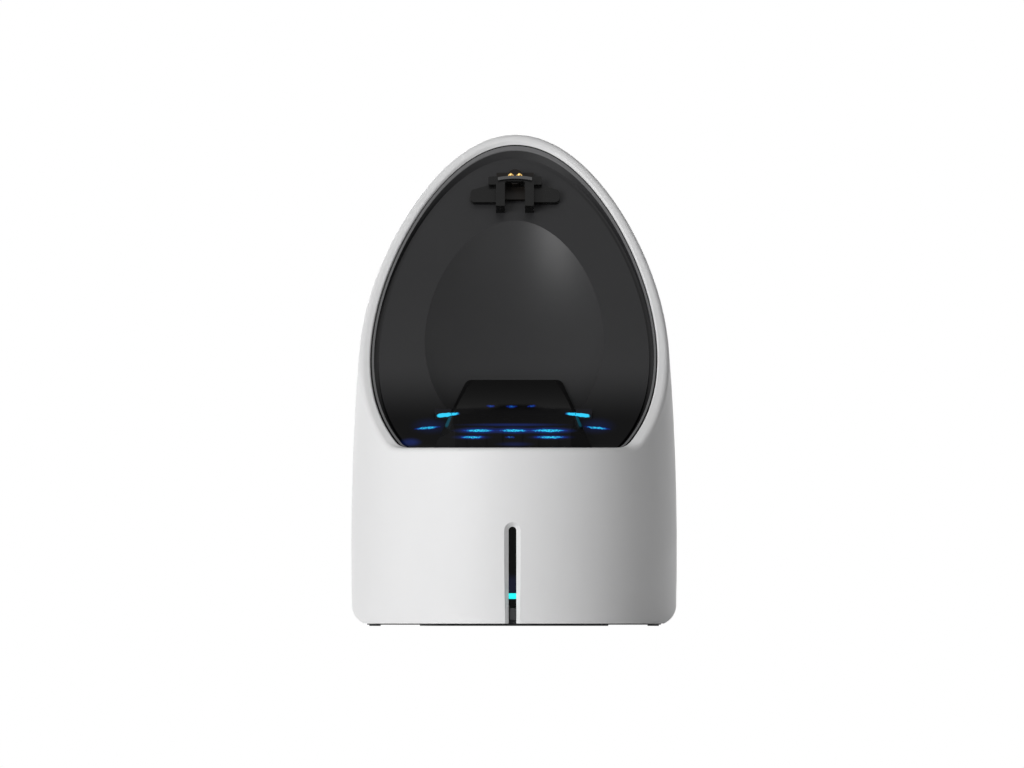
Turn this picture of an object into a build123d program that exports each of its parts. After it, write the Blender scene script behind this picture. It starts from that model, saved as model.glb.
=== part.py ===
from build123d import *
import math
import os

# Charging dock: a barrel-sided cup, cut obliquely, with a black cradle inside.
# Frame: +Z up, the front faces -Y, origin on the floor under the middle of the cup. Millimetres.

# Outer shell
height = 126.6            # floor to the top of the rounded rim
widest_radius = 42.0      # largest radius of the cup
widest_height = 20.0      # height of that largest radius
bulge_radius = 650.0      # radius of the side's bulge, seen from the side
wall = 3.0
shell_bottom = 0.6        # floor to the shell's lower edge
corner_radius = 5.5       # lower corners, seen from the front
corner_over = 0.02        # the corner's arc ends this far outside the wall
corner_under = 0.42       # and this far below the shell's lower edge
opening_over = 1.5        # opening for the base plate, outside the start of the lower corners
lip_height = 46.0         # flat front part of the rim
lip_half_width = 32.3     # half of the flat front part, on the outside of the wall
rim_top_angle = 69.0      # slope of the rim at the very top, degrees
valley_radius = 6.0       # bend between the flat lip and the rising rim
rim_outer_fillet = 1.4
rim_inner_fillet = 0.5
rim_tolerance = 0.02      # for finding the rim's edges

# Front slot
slit_half_width = 1.0
slit_top = 25.6
bevel_depth = 1.2         # depth and sideways spread of the bevel round the slit

# Cradle liner
fit = 0.15                # gap between neighbouring moulded pieces
seat = 0.1                # gap under pieces that sit on a curved seat
liner_drop = 1.0          # cradle surface below the rim
liner_thickness = 2.0
field_thickness = 1.6     # the liner inside its groove
edge_drop = 0.4           # top of the raised edge below the rim
edge_width = 0.7
groove_width = 1.3
groove_depth = 0.7
scoop_land = 6.0          # flat land behind the front wall
scoop_top_gap = 22.0      # top of the scoop below the top of the rim
scoop_sag = 14.0          # depth of the scoop's floor below its chord
scoop_axis_rise = 23.0    # height of the scoop's turning axis above that chord
post_diameter = 6.4
post_inset = 6.5          # liner posts inside the shell's inner wall
post_y = -8.0
lug_drop = 10.0           # shell lugs that carry the liner, below the lip
lug_thickness = 3.0
lug_width = 9.0

# Saddle in the middle of the cradle
saddle_rise = 5.0         # above the scoop's floor
saddle_setback = 2.0      # front of the saddle behind the scoop's front edge
saddle_reach = 17.5       # top edge above the lip
saddle_skirt = 5.0        # lower edge below the lip
saddle_top_half = 12.2
saddle_foot_half = 22.7
saddle_corner = 2.0
flank_reach = 11.5        # top of the side bevels above the lip
flank_top_half = 14.2     # half width between the bevels there
flank_front_half = 14.9   # and at the front
flank_foot_half = 20.4    # outer end of a bevel, at the height of the lip
flank_depth = 5.0         # front corner cut back by this

# Cradle lights
blade_width = 5.0
blade_depth = 1.6
blade_pitch = 9.3
blade_top_gap = 0.6       # top of a blade below the saddle's top edge
strip_length = 4.2
strip_depth = 1.4
strip_proud = 0.8         # above the cradle surface
strip_x = 18.2
strip_setback = 14.6      # behind the front of the saddle
led_size = 2.0
led_height = 1.0
board_thickness = 1.0
led_seat_gap = 0.1        # light above its lamp
glow_board_drop = 6.6     # top of the board below the lip
glow_board_width = 44.0
glow_board_margin = 1.0   # board edge inside the shell's inner wall
glow_board_front_margin = 3.5  # board in front of the saddle's front
glow_board_rear_margin = 5.0   # board behind the light strips
glow_post_inset = 2.0     # posts inside the board's side edges
glow_post_margin = 4.3    # posts inside the shell's inner wall
glow_post_diameter = 4.0

# Contact head at the top of the cradle
contact_drop = 12.0       # contacts on the cradle surface, below the top of the rim
contact_seat = 0.25       # flat pieces over the slightly hollow cradle surface
pin_pitch = 2.2
pin_diameter = 0.9
pin_travel = 1.0
pin_proud = 1.2           # pin tip in front of its barrel at rest
pin_tail = 2.4            # pin inside its barrel at rest
pin_round = 0.36
barrel_diameter = 1.5
barrel_bore = 1.0
spring_room = 0.8         # bore behind a pin that is pressed right in
bore_clearance = 0.02
housing_half_width = 4.8
housing_low = -5.6
housing_high = 2.0
housing_plate = 1.0
dome_radius = 2.2
dome_front = 3.4
dome_round = 0.3
plug_depth = 1.2
plug_margin = 0.8
contact_board_thickness = 0.8
guide_half_width = 4.9
guide_gap_half = 2.6
guide_low = -9.0
guide_high = -0.7
guide_bar_height = 1.3
guide_front = 4.6
guide_corner = 0.8
guide_gap_corner = 0.5
ear_half_width = 6.9
ear_low = -2.2
ear_high = 0.1
ear_front = 3.0
ear_round = 0.4
shoulder_half_width = 11.5
shoulder_high = -0.9      # at the ears
shoulder_fall = 2.3       # from the ears out to the ends
shoulder_low = -6.6
shoulder_front = 1.7
shoulder_round = 1.2
bar_thickness = 0.6
bar_half_width = 4.4
bar_rise = 0.5

# Base
plate_bottom = 0.3
plate_thickness = 2.3
foot_width = 2.8
side_foot_length = 16.0
end_foot_length = 48.0
foot_recess = 0.7
side_foot_margin = 0.7    # side feet inside the plate's straight edge
end_foot_margin = 0.2     # ends of the front and rear feet inside the plate's round edge
boss_inset = 4.0          # base screws inside the shell's inner wall
boss_angle = 38.0
boss_diameter = 8.0
boss_top = 18.0
screw_head = 5.0
screw_head_height = 1.2
screw_pilot = 2.4
screw_length = 10.0
screw_clearance = 3.2
screw_tip_gap = 1.0
thread_gap = 0.02
rib_top = 4.6             # base plate rib that shows in the foot of the slot

# Boards
board_bottom = 6.0
main_thickness = 1.6
main_boss_gap = 0.75      # side edges clear of the screw columns
main_board_margin = 1.0   # corners inside the shell's inner wall
main_tab_half = 8.0
usb_overhang = 1.1        # inlet past the board's rear tab
front_tab_half = 4.0
front_tab_length = 6.4
standoff_diameter = 5.0
standoff_side = 3.5       # standoffs inside the board's side edges
standoff_end = 6.0        # and inside its front and rear edges
small_screw_head = 3.6
small_screw_head_height = 1.1
small_screw_pilot = 1.7
small_tip_gap = 0.5
socket_size = 5.0
socket_height = 4.4
socket_side = 7.0         # contact lead's socket inside the board's side edge
socket_setback = 6.0      # and in front of the rear standoffs
glow_socket_side = 8.0
glow_socket_y = 4.0
chip_size = 7.0
chip_height = 1.0
chip_y = -6.0
coil_size = 6.0
coil_height = 3.0
coil_chamfer = 1.2
coil_x = 4.0
coil_setback = 15.0       # in front of the inlet
capacitor_width = 1.6
capacitor_length = 3.2
capacitor_height = 1.4
capacitor_pitch = 4.0
capacitor_x = -2.0
capacitor_setback = 7.0   # in front of the inlet

# Leads inside the cup
lead_diameter = 1.8
lead_bend = 5.0           # tight bends
lead_sweep = 30.0         # wide bends
lead_start = 2.0          # start of the contact lead below the contacts
lead_run = 8.0            # and its first bend
lead_fall = 18.0          # its second bend below the contacts
lead_wall_gap = 4.8       # there, inside the inner wall
lead_middle_rise = 20.0   # its third bend above the lip
lead_middle_gap = 7.4     # there, inside the inner wall
lead_offset = 8.0         # its fourth bend behind its socket
lead_drop = 12.0          # upright run above a socket
glow_lead_setback = 1.0   # start of the light lead in front of the light strips
glow_lead_drop = 8.0

# Power inlet
usb_width = 8.94
usb_height = 3.26
usb_wall = 0.3
usb_flat = 0.02           # what is left flat at the inlet's round ends
usb_back = 1.6
usb_length = 7.35
usb_mouth_gap = 0.4       # inlet mouth inside the inner wall
tongue_width = 6.7
tongue_height = 0.7
tongue_short = 1.0        # tongue tip behind the mouth
plug_hole_width = 12.4
plug_hole_height = 6.6
plug_hole_corner = 2.8

# Slot light
slot_face = 1.5           # face of the smoked strip below the outer wall
lens_flange = 1.3
lens_flange_half = 2.8
lens_margin = 2.0         # flange past the top of the slit
lens_low_gap = 0.3
lens_root = 0.7           # rib into its flange
lens_gap = 0.05
window_low = 7.0
window_high = 8.4
window_face = 1.1
indicator_half_width = 4.0
indicator_drop = 4.6      # top of the upright board below the top of the slit
led_over = 0.2

# Cutting tools
root = 1.0                # added forms start this far inside what carries them
cut_over = 4.0            # cuts reach this far past what they cut
headroom = 12.0           # tools above the top of the rim
BIG = 4 * height          # larger than the object


# Outer form

def wall_radius(z, inset=0.0):
    """Radius of the barrel side at height z, `inset` inside the outer wall."""
    centre = widest_radius - bulge_radius
    return centre + math.sqrt((bulge_radius - inset) ** 2 - (z - widest_height) ** 2)


def barrel(inset, low=-cut_over, high=height + headroom):
    """Body of revolution inside the wall by `inset`, between two heights."""
    middle = (low + high) / 2
    foot = (wall_radius(low, inset), low)
    waist = (wall_radius(middle, inset), middle)
    top = (wall_radius(high, inset), high)
    side = ThreePointArc(foot, waist, top)
    rest = Polyline(top, (0, high), (0, low), foot)
    return revolve(Plane.XZ * make_face(side + rest), Axis.Z)


def front_form(inset):
    """Prism along Y whose front view has the two rounded lower corners, `inset` inside the outer wall."""
    centre_z = shell_bottom - corner_under + corner_radius
    centre_x = wall_radius(centre_z) + corner_over - corner_radius
    radius = corner_radius - inset
    low = centre_z - radius
    slant = radius * math.sin(math.radians(45))
    right = ThreePointArc(
        (centre_x, low), (centre_x + slant, centre_z - slant), (centre_x + radius, centre_z))
    left = ThreePointArc(
        (-centre_x - radius, centre_z), (-centre_x - slant, centre_z - slant), (-centre_x, low))
    over = Polyline(
        (centre_x + radius, centre_z), (BIG / 4, centre_z), (BIG / 4, BIG / 2),
        (-BIG / 4, BIG / 2), (-BIG / 4, centre_z), (-centre_x - radius, centre_z))
    outline = right + over + left + Line((-centre_x, low), (centre_x, low))
    return extrude(Plane.XZ * make_face(outline), BIG / 4, both=True)


def bar(x_size, y_size, z_low, z_high, x=0.0, y=0.0):
    """Upright box on a given centre."""
    return Pos(x, y, (z_low + z_high) / 2) * Box(x_size, y_size, z_high - z_low)


def rod(diameter, z_low, z_high, x=0.0, y=0.0):
    """Upright cylinder on a given centre."""
    return Pos(x, y, (z_low + z_high) / 2) * Cylinder(diameter / 2, z_high - z_low)


# Rim curve in the side view, as (y, z); the tip is where wall and rim would meet without the rounding
wall_lean = math.asin((height - widest_height) / bulge_radius)
tip_half_angle = (math.radians(90 - rim_top_angle) + wall_lean) / 2
tip_z = height + rim_outer_fillet * (1 / math.sin(tip_half_angle) - 1)
lip_y = -math.sqrt(wall_radius(lip_height) ** 2 - lip_half_width ** 2)
top_y = wall_radius(tip_z)
rim_chord = math.hypot(top_y - lip_y, tip_z - lip_height)
rim_chord_angle = math.atan2(tip_z - lip_height, top_y - lip_y)
rim_turn = math.radians(rim_top_angle) - rim_chord_angle
rim_radius = rim_chord / (2 * math.sin(rim_turn))
rim_centre_y = top_y - rim_radius * math.sin(math.radians(rim_top_angle))
rim_centre_z = tip_z + rim_radius * math.cos(math.radians(rim_top_angle))
valley_z = lip_height + valley_radius
valley_y = rim_centre_y + math.sqrt((rim_radius - valley_radius) ** 2 - (valley_z - rim_centre_z) ** 2)


def rim_y(z, drop):
    """Y of the rising rim curve at height z, `drop` below the rim."""
    return rim_centre_y + math.sqrt((rim_radius + drop) ** 2 - (z - rim_centre_z) ** 2)


def above_rim(drop):
    """Everything above the rim surface lowered by `drop`: flat lip, valley bend and rising sweep."""
    radius = rim_radius + drop
    bend = valley_radius + drop
    reach = math.atan2(valley_z - rim_centre_z, valley_y - rim_centre_y)
    lip_end = (valley_y, lip_height - drop)
    bend_mid_angle = (-math.pi / 2 + reach) / 2
    bend_mid = (valley_y + bend * math.cos(bend_mid_angle), valley_z + bend * math.sin(bend_mid_angle))
    bend_end = (rim_centre_y + radius * math.cos(reach), rim_centre_z + radius * math.sin(reach))
    over = height + headroom + cut_over
    sweep_end = (rim_y(over, drop), over)
    mid_z = (bend_end[1] + over) / 2
    sweep_mid = (rim_y(mid_z, drop), mid_z)
    outline = Polyline((-BIG / 4, over), (-BIG / 4, lip_height - drop), lip_end)
    outline += ThreePointArc(lip_end, bend_mid, bend_end)
    outline += ThreePointArc(bend_end, sweep_mid, sweep_end)
    outline += Line(sweep_end, (-BIG / 4, over))
    return extrude(Plane.YZ * make_face(outline), BIG / 4, both=True)


# Scoop: an arc turned about an axis above it, so that it is hollow both ways
scoop_low = (-(wall_radius(lip_height) - wall - scoop_land), lip_height - liner_drop)
scoop_high = (rim_y(height - scoop_top_gap, liner_drop), height - scoop_top_gap)
scoop_chord = math.hypot(scoop_high[0] - scoop_low[0], scoop_high[1] - scoop_low[1])
scoop_along = ((scoop_high[0] - scoop_low[0]) / scoop_chord, (scoop_high[1] - scoop_low[1]) / scoop_chord)
scoop_out = (-scoop_along[1], scoop_along[0])
scoop_mid = ((scoop_low[0] + scoop_high[0]) / 2, (scoop_low[1] + scoop_high[1]) / 2)
scoop_radius = (scoop_chord ** 2 / 4 + scoop_sag ** 2) / (2 * scoop_sag)
scoop_centre = (
    scoop_mid[0] + (scoop_radius - scoop_sag) * scoop_out[0],
    scoop_mid[1] + (scoop_radius - scoop_sag) * scoop_out[1],
)


def scoop_point(along, out):
    """Point (y, z) in the scoop's own frame: along its chord and out of it."""
    y = scoop_mid[0] + along * scoop_along[0] + out * scoop_out[0]
    z = scoop_mid[1] + along * scoop_along[1] + out * scoop_out[1]
    return (y, z)


def scoop(inset):
    """Hollow of the scoop, made smaller by `inset` (larger if negative)."""
    radius = scoop_radius - inset
    half = scoop_chord / 2
    end_out = scoop_radius - scoop_sag - math.sqrt(radius ** 2 - half ** 2)
    low = scoop_point(-half, end_out)
    bottom = scoop_point(0, inset - scoop_sag)
    high = scoop_point(half, end_out)
    axis_low = scoop_point(-half, scoop_axis_rise)
    axis_high = scoop_point(half, scoop_axis_rise)
    outline = ThreePointArc(low, bottom, high) + Polyline(high, axis_high, axis_low, low)
    axis = Axis((0, axis_low[0], axis_low[1]), (0, scoop_along[0], scoop_along[1]))
    return revolve(Plane.YZ * make_face(outline), axis)


def floor_z(y):
    """Height of the scoop's floor on the middle plane."""
    return scoop_centre[1] - math.sqrt(scoop_radius ** 2 - (y - scoop_centre[0]) ** 2)


# Contact head frame: on the cradle surface, its normal pointing out of the cradle
contact_z = height - contact_drop
contact_y = rim_y(contact_z, liner_drop)
contact_normal = Vector(0, rim_centre_y - contact_y, rim_centre_z - contact_z).normalized()
contact_plane = Plane(origin=(0, contact_y, contact_z), x_dir=(1, 0, 0), z_dir=contact_normal)


def on_contact(shape):
    """Move a shape from the contact head's frame into place."""
    return contact_plane.location * shape


def slab(half_width, low, high, back, front, x=0.0):
    """Box in the contact head's frame: sideways, up the cradle and out of it."""
    size = Box(2 * half_width, high - low, front - back)
    return Pos(x, (low + high) / 2, (back + front) / 2) * size


# Places shared by several pieces
plate_top = plate_bottom + plate_thickness
board_top = board_bottom + main_thickness
inner_radius = widest_radius - wall
opening_half_width = widest_radius - corner_radius + opening_over
side_foot_x = opening_half_width - side_foot_margin - foot_width / 2
end_foot_ring = wall_radius(plate_bottom, wall + fit) - end_foot_margin - foot_width / 2
end_foot_y = math.sqrt(end_foot_ring ** 2 - (end_foot_length / 2 - foot_width / 2) ** 2)
boss_ring = inner_radius - boss_inset
boss_x = boss_ring * math.cos(math.radians(boss_angle))
boss_y = boss_ring * math.sin(math.radians(boss_angle))
boss_places = [(sx * boss_x, sy * boss_y) for sx in (-1, 1) for sy in (-1, 1)]

lug_z = lip_height - lug_drop
post_x = inner_radius - post_inset
post_places = [(-post_x, post_y), (post_x, post_y)]
saddle_front = scoop_low[0] + saddle_setback
saddle_top_z = lip_height + saddle_reach
saddle_foot_z = lip_height - saddle_skirt
blade_places = [-blade_pitch, 0.0, blade_pitch]
strip_places = [-strip_x, strip_x]
strip_y = saddle_front + strip_setback
glow_board_top = lip_height - glow_board_drop
glow_board_front = saddle_front - glow_board_front_margin
glow_board_rear = strip_y + glow_board_rear_margin
glow_post_x = glow_board_width / 2 - glow_post_inset
glow_post_ring = wall_radius(glow_board_top, wall) - glow_post_margin
glow_post_y = -math.sqrt(glow_post_ring ** 2 - glow_post_x ** 2)
pin_places = [-pin_pitch / 2, pin_pitch / 2]

lens_low = rib_top + lens_low_gap
window_mid = (window_low + window_high) / 2
indicator_face = wall_radius(window_mid, wall + seat + lens_flange) - lens_gap - led_height
indicator_top = slit_top - indicator_drop
usb_z = board_top + usb_height / 2
usb_mouth = wall_radius(usb_z, wall) - usb_mouth_gap
main_half_width = boss_x - boss_diameter / 2 - main_boss_gap
main_front = -indicator_face + front_tab_length
main_rear = usb_mouth - usb_length
main_tab_rear = usb_mouth - usb_overhang
standoff_x = main_half_width - standoff_side
standoff_front = main_front + standoff_end
standoff_rear = main_rear - standoff_end
standoff_places = [(sx * standoff_x, y) for sx in (-1, 1) for y in (standoff_front, standoff_rear)]
contact_socket = (main_half_width - socket_side, standoff_rear - socket_setback)
glow_socket = (glow_socket_side - main_half_width, glow_socket_y)
capacitor_y = main_rear - capacitor_setback
capacitor_places = [(capacitor_x - i * capacitor_pitch, capacitor_y) for i in range(3)]


# Shell

def slot_prism(half_width, y_low, y_high):
    """Slot outline with a round top, open at the foot, as a prism along Y."""
    top = slit_top - slit_half_width
    stem = Pos(0, (top - cut_over) / 2) * Rectangle(2 * half_width, top + cut_over)
    outline = stem + Pos(0, top) * Circle(half_width)
    return Pos(0, y_high, 0) * extrude(Plane.XZ * outline, y_high - y_low)


def slot_cut():
    """Slit through the front wall with a bevel round it."""
    slit = slot_prism(slit_half_width, -widest_radius - cut_over, -widest_radius + 3 * wall)
    top = slit_top - slit_half_width
    rim_half = slit_half_width + bevel_depth
    stem = Pos(0, (top - cut_over) / 2) * Rectangle(2 * rim_half, top + cut_over)
    outline = stem + Pos(0, top) * Circle(rim_half)
    face = Pos(0, -widest_radius, 0) * (Plane.XZ * outline)
    bevel = extrude(face, amount=-bevel_depth, taper=45)
    return slit + bevel


def plug_hole():
    """Opening in the rear wall for the power plug."""
    outline = Pos(0, usb_z) * RectangleRounded(plug_hole_width, plug_hole_height, plug_hole_corner)
    return Pos(0, widest_radius + cut_over, 0) * extrude(Plane.XZ * outline, cut_over + 3 * wall)


def shell_bosses():
    """Screw columns that grow out of the wall, and the lugs that carry the liner."""
    solid = None
    for x, y in boss_places:
        column = rod(boss_diameter, plate_top, boss_top, x, y)
        turn = Rot(0, 0, math.degrees(math.atan2(y, x)))
        web = bar(boss_inset + wall, wall, plate_top, boss_top, (boss_inset + wall) / 2)
        column = column + Pos(x, y, 0) * turn * web
        solid = column if solid is None else solid + column
    for x, y in post_places:
        side = math.copysign(1, x)
        reach = widest_radius - post_x + post_diameter / 2
        inner = x + side * (reach / 2 - post_diameter / 2)
        solid = solid + bar(reach, lug_width, lug_z - lug_thickness, lug_z, inner, y)
    solid = solid & barrel(wall / 2)
    for x, y in boss_places:
        solid = solid - rod(screw_pilot, plate_top - cut_over, plate_top + screw_length, x, y)
    for x, y in post_places:
        solid = solid - rod(screw_clearance, 0, height, x, y)
    return solid


def is_rim_edge(edge, inset):
    """True for an edge that runs along the rim on the wall face at `inset`."""
    for place in (0.1, 0.5, 0.9):
        point = edge @ place
        if point.Z < lip_height - rim_tolerance or point.Z > tip_z + rim_tolerance:
            return False
        if abs(math.hypot(point.X, point.Y) - wall_radius(point.Z, inset)) > rim_tolerance:
            return False
    return True


def outer_shell():
    form = barrel(0, shell_bottom) & front_form(0)
    opening = bar(2 * opening_half_width, BIG, -cut_over, shell_bottom + corner_radius)
    hollow = barrel(wall) & (front_form(wall) + opening)
    cup = form - hollow - above_rim(0)
    cup = fillet([e for e in cup.edges() if is_rim_edge(e, 0)], rim_outer_fillet)
    cup = fillet([e for e in cup.edges() if is_rim_edge(e, wall)], rim_inner_fillet)
    return cup - slot_cut() - plug_hole() + shell_bosses()


# Cradle

def blade_slots(gap):
    """Light blades in the front of the saddle, as prisms made larger by `gap`."""
    solid = None
    low = glow_board_top + led_height - gap
    for x in blade_places:
        blade = bar(blade_width + 2 * gap, blade_depth + 2 * gap, low, saddle_blade_top() + gap, x,
                    saddle_front + blade_depth / 2)
        solid = blade if solid is None else solid + blade
    return solid


def strip_prisms(gap):
    """Upright light strips beside the saddle, as prisms made larger by `gap`."""
    low = glow_board_top + led_height - gap
    solid = None
    for x in strip_places:
        strip = bar(strip_length + 2 * gap, strip_depth + 2 * gap, low, height, x, strip_y)
        solid = strip if solid is None else solid + strip
    return solid


def saddle_blade_top():
    return floor_z(saddle_front + blade_depth) + saddle_rise - blade_top_gap


def below_rim(high_drop, low_drop):
    """Layer that follows the rim between two depths below it."""
    return above_rim(low_drop) - above_rim(high_drop)


def liner_plate():
    """Plate that follows the rim, with a raised edge and a groove inside that edge."""
    outline = wall + fit
    edge = outline + edge_width
    groove_floor = liner_drop + groove_depth
    tray = barrel(outline) & below_rim(edge_drop, liner_drop + liner_thickness)
    tray = tray - (barrel(edge) & above_rim(groove_floor))
    field = barrel(edge + groove_width) & below_rim(liner_drop, liner_drop + field_thickness)
    return tray + field


def cradle_liner():
    inside = barrel(wall + fit)
    bowl = (scoop(-liner_thickness) & barrel(wall + fit + edge_width + groove_width)) - above_rim(liner_drop)
    solid = liner_plate() + bowl
    for x, y in post_places:
        post = rod(post_diameter, lug_z, height, x, y) - above_rim(liner_drop + liner_thickness / 2)
        solid = solid + (post & inside)
    for side in (-1, 1):
        solid = solid + rod(glow_post_diameter, glow_board_top, lip_height - liner_drop - liner_thickness / 2,
                            side * glow_post_x, glow_post_y)
    solid = solid - scoop(0)
    solid = solid - blade_slots(seat) - strip_prisms(seat)
    for x, y in post_places:
        solid = solid - rod(screw_pilot, lug_z - cut_over, lug_z + screw_length, x, y)
    window = on_contact(slab(housing_half_width - plug_margin + fit, housing_low + plug_margin - fit,
                             housing_high - plug_margin + fit, -3 * liner_thickness, 3 * liner_thickness))
    return solid - window


def saddle_roll_y(z):
    """Y of the saddle's hollow top at height z."""
    radius = scoop_radius - saddle_rise
    return scoop_centre[0] + math.sqrt(radius ** 2 - (scoop_centre[1] - z) ** 2)


def beyond(first, second, third):
    """Everything on the outer side of the plane through three points."""
    along = Vector(*second) - Vector(*first)
    across = Vector(*third) - Vector(*first)
    plane = Plane(origin=first, z_dir=along.cross(across))
    return plane.location * Pos(0, 0, BIG / 8) * Box(BIG / 2, BIG / 2, BIG / 4)


def saddle_flanks():
    """What the right-hand bevels take off the saddle: along its top edge and at its front corner."""
    top_z = lip_height + flank_reach
    top = (flank_top_half, saddle_roll_y(top_z), top_z)
    front = (flank_front_half, saddle_front, floor_z(saddle_front) + saddle_rise)
    foot = (flank_foot_half, saddle_front, lip_height)
    edge = beyond(top, front, foot)
    corner = beyond((flank_front_half, saddle_front, 0), (flank_foot_half, saddle_front + flank_depth, 0),
                    (flank_front_half, saddle_front, height))
    return edge + corner


def saddle_panel():
    """Trapezoid block on the scoop's floor, with a hollow top and bevelled flanks."""
    top = Polyline((-saddle_foot_half, saddle_foot_z), (saddle_foot_half, saddle_foot_z),
                   (saddle_top_half, saddle_top_z), (-saddle_top_half, saddle_top_z), close=True)
    outline = make_face(top)
    outline = fillet(outline.vertices().sort_by(Axis.Y)[2:], saddle_corner)
    prism = Pos(0, saddle_front, 0) * extrude(Plane.XZ * outline, -BIG / 4)
    free = above_rim(liner_drop - seat) + scoop(seat)
    roll = Rot(0, 90, 0) * Cylinder(scoop_radius - saddle_rise, BIG / 2)
    block = (prism & free) - Pos(0, scoop_centre[0], scoop_centre[1]) * roll
    flanks = saddle_flanks()
    block = block - flanks - mirror(flanks, about=Plane.YZ)
    return block - blade_slots(fit) - strip_prisms(fit)


def glow_windows():
    return blade_slots(0)


def side_lights():
    return strip_prisms(0) - above_rim(liner_drop - strip_proud)


def glow_board():
    depth = glow_board_rear - glow_board_front
    middle = (glow_board_front + glow_board_rear) / 2
    board = bar(glow_board_width, depth, glow_board_top - board_thickness, glow_board_top, 0, middle)
    return board & barrel(wall + glow_board_margin)


def glow_leds():
    solid = None
    places = [(x, saddle_front + blade_depth / 2) for x in blade_places]
    places += [(x, strip_y) for x in strip_places]
    for x, y in places:
        led = bar(led_size, led_size, glow_board_top, glow_board_top + led_height - led_seat_gap, x, y)
        solid = led if solid is None else solid + led
    return solid


# Contact head

def contact_housing():
    plate = slab(housing_half_width, housing_low, housing_high, contact_seat, contact_seat + housing_plate)
    dome = extrude(Circle(dome_radius), dome_front)
    dome = fillet(dome.edges().sort_by(Axis.Z)[-1], dome_round)
    plug = slab(housing_half_width - plug_margin, housing_low + plug_margin, housing_high - plug_margin,
                -plug_depth, contact_seat + housing_plate)
    solid = plate + plug + (dome - slab(BIG, -BIG, BIG, -BIG / 2, contact_seat))
    for x in pin_places:
        bore = Pos(x, 0, 0) * Cylinder(barrel_diameter / 2 + bore_clearance, BIG / 4)
        solid = solid - bore
    return on_contact(solid)


def guide_arch():
    """Outline of the bracket in the contact head's frame: two legs under an arched bar."""
    shoulder = guide_high - bar_rise
    top = ThreePointArc((-guide_half_width, shoulder), (0, guide_high), (guide_half_width, shoulder))
    sides = Polyline((guide_half_width, shoulder), (guide_half_width, guide_low),
                     (-guide_half_width, guide_low), (-guide_half_width, shoulder))
    arch = make_face(top + sides)
    arch = fillet(arch.vertices().sort_by(Axis.Y)[2:], guide_corner)
    gap_top = guide_high - guide_bar_height
    gap_low = guide_low - cut_over
    gap = Pos(0, (gap_low + gap_top) / 2) * Rectangle(2 * guide_gap_half, gap_top - gap_low)
    gap = fillet(gap.vertices().sort_by(Axis.Y)[2:], guide_gap_corner)
    return arch - gap


def guide_wing():
    """Right-hand ear and sloping shoulder of the bracket, with the foot of its leg."""
    inner = guide_half_width - root
    ear_middle = (ear_half_width + inner) / 2
    ear = slab((ear_half_width - inner) / 2, ear_low, ear_high, contact_seat, ear_front, ear_middle)
    ear = fillet(ear.edges().filter_by(Axis.Z), ear_round)
    outer_high = shoulder_high - shoulder_fall
    outline = Polyline((inner, shoulder_low), (shoulder_half_width, shoulder_low),
                       (shoulder_half_width, outer_high), (inner, shoulder_high), close=True)
    outline = make_face(outline)
    outline = fillet(outline.vertices().sort_by(Axis.X)[2:], shoulder_round)
    shoulder = Pos(0, 0, contact_seat) * extrude(outline, shoulder_front - contact_seat)
    leg_half = (guide_half_width - guide_gap_half) / 2
    leg_x = (guide_half_width + guide_gap_half) / 2
    foot = slab(leg_half, guide_low, housing_low - fit, contact_seat, guide_front, leg_x)
    return ear + shoulder + foot


def guide_frame():
    """Bracket below the contacts: arch, ears, shoulders and feet, clear of the housing."""
    back = contact_seat + housing_plate
    wing = guide_wing()
    solid = Pos(0, 0, back) * extrude(guide_arch(), guide_front - back)
    solid = solid + wing + mirror(wing, about=Plane.YZ)
    clear_of_plate = slab(housing_half_width + fit, housing_low - fit, housing_high + fit, 0, back)
    dome = extrude(Circle(dome_radius + fit), dome_front + fit)
    return on_contact(solid - clear_of_plate - dome)


def guide_bar():
    """Slightly arched glossy bar on the front of the guide frame."""
    low = guide_high - guide_bar_height
    middle = (low + guide_high) / 2
    half_height = guide_bar_height / 3
    left = (-bar_half_width, middle - half_height - bar_rise / 2)
    right = (bar_half_width, middle - half_height - bar_rise / 2)
    lower = ThreePointArc(left, (0, middle - half_height + bar_rise / 2), right)
    left_top = (left[0], left[1] + 2 * half_height)
    right_top = (right[0], right[1] + 2 * half_height)
    upper = ThreePointArc(left_top, (0, middle + half_height + bar_rise / 2), right_top)
    outline = lower + Line(right, right_top) + upper + Line(left_top, left)
    return on_contact(Pos(0, 0, guide_front) * extrude(make_face(outline), bar_thickness))


def contact_board():
    board = slab(housing_half_width - plug_margin, housing_low + plug_margin, housing_high - plug_margin,
                 -plug_depth - contact_board_thickness, -plug_depth)
    return on_contact(board)


def pin_barrels():
    bore_low = dome_front - pin_tail - pin_travel - spring_room
    tubes = None
    for x in pin_places:
        tube = rod(barrel_diameter, -plug_depth, dome_front, x)
        tube = tube - rod(barrel_bore, bore_low, dome_front + cut_over, x)
        tubes = tube if tubes is None else tubes + tube
    return on_contact(tubes)


def contact_pin(x):
    length = pin_tail + pin_proud
    pin = Pos(x, 0, dome_front - pin_tail + length / 2) * Cylinder(pin_diameter / 2, length)
    tip = pin.edges().filter_by(GeomType.CIRCLE).sort_by(Axis.Z)[-1]
    return on_contact(fillet(tip, pin_round))


# Leads inside the housing

def lead(points, radii):
    path = FilletPolyline(*points, radius=radii)
    start = Plane(origin=path @ 0, z_dir=path % 0)
    return sweep(start * Circle(lead_diameter / 2), path)


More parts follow.
